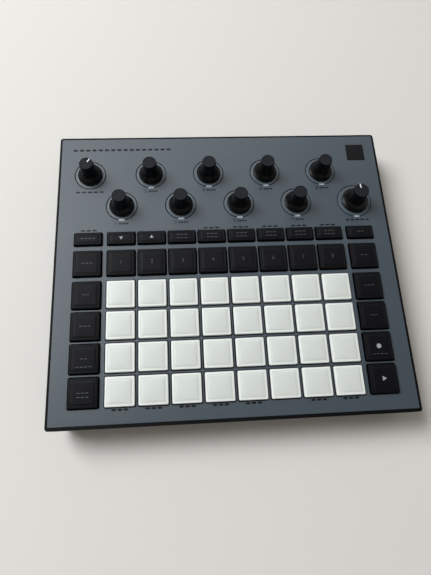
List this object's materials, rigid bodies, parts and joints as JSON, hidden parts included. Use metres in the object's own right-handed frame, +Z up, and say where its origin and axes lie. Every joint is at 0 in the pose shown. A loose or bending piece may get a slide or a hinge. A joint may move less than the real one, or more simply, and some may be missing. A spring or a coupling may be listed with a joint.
{
  "type": "drum machine",
  "caption": "Desktop drum machine: flat grey panel in a black tray with a grid of white pads, rows of square black buttons, tall flared knobs and rear sockets.",
  "frame": {"origin": "middle of the footprint, on the surface that the feet stand on", "axes": "+X to the player's right, +Y to the rear with the sockets, +Z up through the knobs"},
  "size_m": [0.24, 0.21, 0.045],
  "materials": {
    "white_silicone": "translucent matt silicone",
    "knob_rubber": "soft-touch matt black",
    "black_silicone": "matt black silicone",
    "black_plastic": "satin",
    "case_plastic": "fine texture",
    "panel_plastic": "fine satin grain",
    "clear_plastic": "frosted light guide",
    "board_laminate": "green solder mask",
    "mat_rubber": "matt",
    "control_metal": "stamped steel",
    "socket_plastic": "moulded black",
    "port_metal": "plated steel",
    "cell_wrap": "foil pouch",
    "foot_rubber": "matt",
    "screw_steel": "black oxide"
  },
  "bodies": {
    "case": {"audio_jacks": "socket_plastic", "base_case": "case_plastic", "battery": "cell_wrap", "case_screws": "screw_steel", "circuit_boards": "board_laminate", "key_mat": "mat_rubber", "light_windows": "clear_plastic", "midi_sockets": "socket_plastic", "mini_jacks": "socket_plastic", "rear_ports": "port_metal", "rotary_controls": "control_metal", "rubber_feet": "foot_rubber", "top_cover": "panel_plastic"},
    "volume_knob": {"volume_knob": "knob_rubber"},
    "filter_knob": {"filter_knob": "knob_rubber"},
    "macro_knob_1": {"macro_knob_1": "knob_rubber"},
    "macro_knob_2": {"macro_knob_2": "knob_rubber"},
    "macro_knob_3": {"macro_knob_3": "knob_rubber"},
    "macro_knob_4": {"macro_knob_4": "knob_rubber"},
    "macro_knob_5": {"macro_knob_5": "knob_rubber"},
    "macro_knob_6": {"macro_knob_6": "knob_rubber"},
    "macro_knob_7": {"macro_knob_7": "knob_rubber"},
    "macro_knob_8": {"macro_knob_8": "knob_rubber"},
    "function_row": {"function_row": "black_silicone"},
    "track_row": {"track_row": "black_silicone"},
    "left_column": {"left_column": "black_silicone"},
    "right_column": {"right_column": "black_silicone"},
    "power_button": {"power_button": "black_plastic"},
    "pad_row1_column1": {"pad_row1_column1": "white_silicone"},
    "pad_row1_column2": {"pad_row1_column2": "white_silicone"},
    "pad_row1_column3": {"pad_row1_column3": "white_silicone"},
    "pad_row1_column4": {"pad_row1_column4": "white_silicone"},
    "pad_row1_column5": {"pad_row1_column5": "white_silicone"},
    "pad_row1_column6": {"pad_row1_column6": "white_silicone"},
    "pad_row1_column7": {"pad_row1_column7": "white_silicone"},
    "pad_row1_column8": {"pad_row1_column8": "white_silicone"},
    "pad_row2_column1": {"pad_row2_column1": "white_silicone"},
    "pad_row2_column2": {"pad_row2_column2": "white_silicone"},
    "pad_row2_column3": {"pad_row2_column3": "white_silicone"},
    "pad_row2_column4": {"pad_row2_column4": "white_silicone"},
    "pad_row2_column5": {"pad_row2_column5": "white_silicone"},
    "pad_row2_column6": {"pad_row2_column6": "white_silicone"},
    "pad_row2_column7": {"pad_row2_column7": "white_silicone"},
    "pad_row2_column8": {"pad_row2_column8": "white_silicone"},
    "pad_row3_column1": {"pad_row3_column1": "white_silicone"},
    "pad_row3_column2": {"pad_row3_column2": "white_silicone"},
    "pad_row3_column3": {"pad_row3_column3": "white_silicone"},
    "pad_row3_column4": {"pad_row3_column4": "white_silicone"},
    "pad_row3_column5": {"pad_row3_column5": "white_silicone"},
    "pad_row3_column6": {"pad_row3_column6": "white_silicone"},
    "pad_row3_column7": {"pad_row3_column7": "white_silicone"},
    "pad_row3_column8": {"pad_row3_column8": "white_silicone"},
    "pad_row4_column1": {"pad_row4_column1": "white_silicone"},
    "pad_row4_column2": {"pad_row4_column2": "white_silicone"},
    "pad_row4_column3": {"pad_row4_column3": "white_silicone"},
    "pad_row4_column4": {"pad_row4_column4": "white_silicone"},
    "pad_row4_column5": {"pad_row4_column5": "white_silicone"},
    "pad_row4_column6": {"pad_row4_column6": "white_silicone"},
    "pad_row4_column7": {"pad_row4_column7": "white_silicone"},
    "pad_row4_column8": {"pad_row4_column8": "white_silicone"}
  },
  "joints": [
    {"name": "volume_knob_turn", "type": "hinge", "parent": "case", "child": "volume_knob", "pos_m": [-0.0971, 0.0732, 0.029], "axis": [0, 0, 1], "range_deg": [-115, 185]},
    {"name": "filter_knob_turn", "type": "hinge", "parent": "case", "child": "filter_knob", "pos_m": [0.0971, 0.0477, 0.029], "axis": [0, 0, 1], "range_deg": [-158, 142]},
    {"name": "macro_knob_1_turn", "type": "hinge", "parent": "case", "child": "macro_knob_1", "pos_m": [-0.0742, 0.0477, 0.029], "axis": [0, 0, 1], "continuous": true},
    {"name": "macro_knob_2_turn", "type": "hinge", "parent": "case", "child": "macro_knob_2", "pos_m": [-0.053, 0.0732, 0.029], "axis": [0, 0, 1], "continuous": true},
    {"name": "macro_knob_3_turn", "type": "hinge", "parent": "case", "child": "macro_knob_3", "pos_m": [-0.0318, 0.0477, 0.029], "axis": [0, 0, 1], "continuous": true},
    {"name": "macro_knob_4_turn", "type": "hinge", "parent": "case", "child": "macro_knob_4", "pos_m": [-0.0106, 0.0732, 0.029], "axis": [0, 0, 1], "continuous": true},
    {"name": "macro_knob_5_turn", "type": "hinge", "parent": "case", "child": "macro_knob_5", "pos_m": [0.0106, 0.0477, 0.029], "axis": [0, 0, 1], "continuous": true},
    {"name": "macro_knob_6_turn", "type": "hinge", "parent": "case", "child": "macro_knob_6", "pos_m": [0.0318, 0.0732, 0.029], "axis": [0, 0, 1], "continuous": true},
    {"name": "macro_knob_7_turn", "type": "hinge", "parent": "case", "child": "macro_knob_7", "pos_m": [0.053, 0.0477, 0.029], "axis": [0, 0, 1], "continuous": true},
    {"name": "macro_knob_8_turn", "type": "hinge", "parent": "case", "child": "macro_knob_8", "pos_m": [0.0742, 0.0732, 0.029], "axis": [0, 0, 1], "continuous": true},
    {"name": "function_row_press", "type": "slide", "parent": "case", "child": "function_row", "axis": [0, 0, -1], "range_m": [0, 0.0012], "stiffness_N_per_m": 1200, "springref_m": -0.0006},
    {"name": "track_row_press", "type": "slide", "parent": "case", "child": "track_row", "axis": [0, 0, -1], "range_m": [0, 0.0012], "stiffness_N_per_m": 1200, "springref_m": -0.0006},
    {"name": "left_column_press", "type": "slide", "parent": "case", "child": "left_column", "axis": [0, 0, -1], "range_m": [0, 0.0012], "stiffness_N_per_m": 1200, "springref_m": -0.0006},
    {"name": "right_column_press", "type": "slide", "parent": "case", "child": "right_column", "axis": [0, 0, -1], "range_m": [0, 0.0012], "stiffness_N_per_m": 1200, "springref_m": -0.0006},
    {"name": "power_button_press", "type": "slide", "parent": "case", "child": "power_button", "axis": [0, -1, 0], "range_m": [0, 0.001], "stiffness_N_per_m": 1200, "springref_m": -0.0005},
    {"name": "pad_row1_column1_press", "type": "slide", "parent": "case", "child": "pad_row1_column1", "axis": [0, 0, -1], "range_m": [0, 0.0008], "stiffness_N_per_m": 1500, "springref_m": -0.0005},
    {"name": "pad_row1_column2_press", "type": "slide", "parent": "case", "child": "pad_row1_column2", "axis": [0, 0, -1], "range_m": [0, 0.0008], "stiffness_N_per_m": 1500, "springref_m": -0.0005},
    {"name": "pad_row1_column3_press", "type": "slide", "parent": "case", "child": "pad_row1_column3", "axis": [0, 0, -1], "range_m": [0, 0.0008], "stiffness_N_per_m": 1500, "springref_m": -0.0005},
    {"name": "pad_row1_column4_press", "type": "slide", "parent": "case", "child": "pad_row1_column4", "axis": [0, 0, -1], "range_m": [0, 0.0008], "stiffness_N_per_m": 1500, "springref_m": -0.0005},
    {"name": "pad_row1_column5_press", "type": "slide", "parent": "case", "child": "pad_row1_column5", "axis": [0, 0, -1], "range_m": [0, 0.0008], "stiffness_N_per_m": 1500, "springref_m": -0.0005},
    {"name": "pad_row1_column6_press", "type": "slide", "parent": "case", "child": "pad_row1_column6", "axis": [0, 0, -1], "range_m": [0, 0.0008], "stiffness_N_per_m": 1500, "springref_m": -0.0005},
    {"name": "pad_row1_column7_press", "type": "slide", "parent": "case", "child": "pad_row1_column7", "axis": [0, 0, -1], "range_m": [0, 0.0008], "stiffness_N_per_m": 1500, "springref_m": -0.0005},
    {"name": "pad_row1_column8_press", "type": "slide", "parent": "case", "child": "pad_row1_column8", "axis": [0, 0, -1], "range_m": [0, 0.0008], "stiffness_N_per_m": 1500, "springref_m": -0.0005},
    {"name": "pad_row2_column1_press", "type": "slide", "parent": "case", "child": "pad_row2_column1", "axis": [0, 0, -1], "range_m": [0, 0.0008], "stiffness_N_per_m": 1500, "springref_m": -0.0005},
    {"name": "pad_row2_column2_press", "type": "slide", "parent": "case", "child": "pad_row2_column2", "axis": [0, 0, -1], "range_m": [0, 0.0008], "stiffness_N_per_m": 1500, "springref_m": -0.0005},
    {"name": "pad_row2_column3_press", "type": "slide", "parent": "case", "child": "pad_row2_column3", "axis": [0, 0, -1], "range_m": [0, 0.0008], "stiffness_N_per_m": 1500, "springref_m": -0.0005},
    {"name": "pad_row2_column4_press", "type": "slide", "parent": "case", "child": "pad_row2_column4", "axis": [0, 0, -1], "range_m": [0, 0.0008], "stiffness_N_per_m": 1500, "springref_m": -0.0005},
    {"name": "pad_row2_column5_press", "type": "slide", "parent": "case", "child": "pad_row2_column5", "axis": [0, 0, -1], "range_m": [0, 0.0008], "stiffness_N_per_m": 1500, "springref_m": -0.0005},
    {"name": "pad_row2_column6_press", "type": "slide", "parent": "case", "child": "pad_row2_column6", "axis": [0, 0, -1], "range_m": [0, 0.0008], "stiffness_N_per_m": 1500, "springref_m": -0.0005},
    {"name": "pad_row2_column7_press", "type": "slide", "parent": "case", "child": "pad_row2_column7", "axis": [0, 0, -1], "range_m": [0, 0.0008], "stiffness_N_per_m": 1500, "springref_m": -0.0005},
    {"name": "pad_row2_column8_press", "type": "slide", "parent": "case", "child": "pad_row2_column8", "axis": [0, 0, -1], "range_m": [0, 0.0008], "stiffness_N_per_m": 1500, "springref_m": -0.0005},
    {"name": "pad_row3_column1_press", "type": "slide", "parent": "case", "child": "pad_row3_column1", "axis": [0, 0, -1], "range_m": [0, 0.0008], "stiffness_N_per_m": 1500, "springref_m": -0.0005},
    {"name": "pad_row3_column2_press", "type": "slide", "parent": "case", "child": "pad_row3_column2", "axis": [0, 0, -1], "range_m": [0, 0.0008], "stiffness_N_per_m": 1500, "springref_m": -0.0005},
    {"name": "pad_row3_column3_press", "type": "slide", "parent": "case", "child": "pad_row3_column3", "axis": [0, 0, -1], "range_m": [0, 0.0008], "stiffness_N_per_m": 1500, "springref_m": -0.0005},
    {"name": "pad_row3_column4_press", "type": "slide", "parent": "case", "child": "pad_row3_column4", "axis": [0, 0, -1], "range_m": [0, 0.0008], "stiffness_N_per_m": 1500, "springref_m": -0.0005},
    {"name": "pad_row3_column5_press", "type": "slide", "parent": "case", "child": "pad_row3_column5", "axis": [0, 0, -1], "range_m": [0, 0.0008], "stiffness_N_per_m": 1500, "springref_m": -0.0005},
    {"name": "pad_row3_column6_press", "type": "slide", "parent": "case", "child": "pad_row3_column6", "axis": [0, 0, -1], "range_m": [0, 0.0008], "stiffness_N_per_m": 1500, "springref_m": -0.0005},
    {"name": "pad_row3_column7_press", "type": "slide", "parent": "case", "child": "pad_row3_column7", "axis": [0, 0, -1], "range_m": [0, 0.0008], "stiffness_N_per_m": 1500, "springref_m": -0.0005},
    {"name": "pad_row3_column8_press", "type": "slide", "parent": "case", "child": "pad_row3_column8", "axis": [0, 0, -1], "range_m": [0, 0.0008], "stiffness_N_per_m": 1500, "springref_m": -0.0005},
    {"name": "pad_row4_column1_press", "type": "slide", "parent": "case", "child": "pad_row4_column1", "axis": [0, 0, -1], "range_m": [0, 0.0008], "stiffness_N_per_m": 1500, "springref_m": -0.0005},
    {"name": "pad_row4_column2_press", "type": "slide", "parent": "case", "child": "pad_row4_column2", "axis": [0, 0, -1], "range_m": [0, 0.0008], "stiffness_N_per_m": 1500, "springref_m": -0.0005},
    {"name": "pad_row4_column3_press", "type": "slide", "parent": "case", "child": "pad_row4_column3", "axis": [0, 0, -1], "range_m": [0, 0.0008], "stiffness_N_per_m": 1500, "springref_m": -0.0005},
    {"name": "pad_row4_column4_press", "type": "slide", "parent": "case", "child": "pad_row4_column4", "axis": [0, 0, -1], "range_m": [0, 0.0008], "stiffness_N_per_m": 1500, "springref_m": -0.0005},
    {"name": "pad_row4_column5_press", "type": "slide", "parent": "case", "child": "pad_row4_column5", "axis": [0, 0, -1], "range_m": [0, 0.0008], "stiffness_N_per_m": 1500, "springref_m": -0.0005},
    {"name": "pad_row4_column6_press", "type": "slide", "parent": "case", "child": "pad_row4_column6", "axis": [0, 0, -1], "range_m": [0, 0.0008], "stiffness_N_per_m": 1500, "springref_m": -0.0005},
    {"name": "pad_row4_column7_press", "type": "slide", "parent": "case", "child": "pad_row4_column7", "axis": [0, 0, -1], "range_m": [0, 0.0008], "stiffness_N_per_m": 1500, "springref_m": -0.0005},
    {"name": "pad_row4_column8_press", "type": "slide", "parent": "case", "child": "pad_row4_column8", "axis": [0, 0, -1], "range_m": [0, 0.0008], "stiffness_N_per_m": 1500, "springref_m": -0.0005}
  ]
}
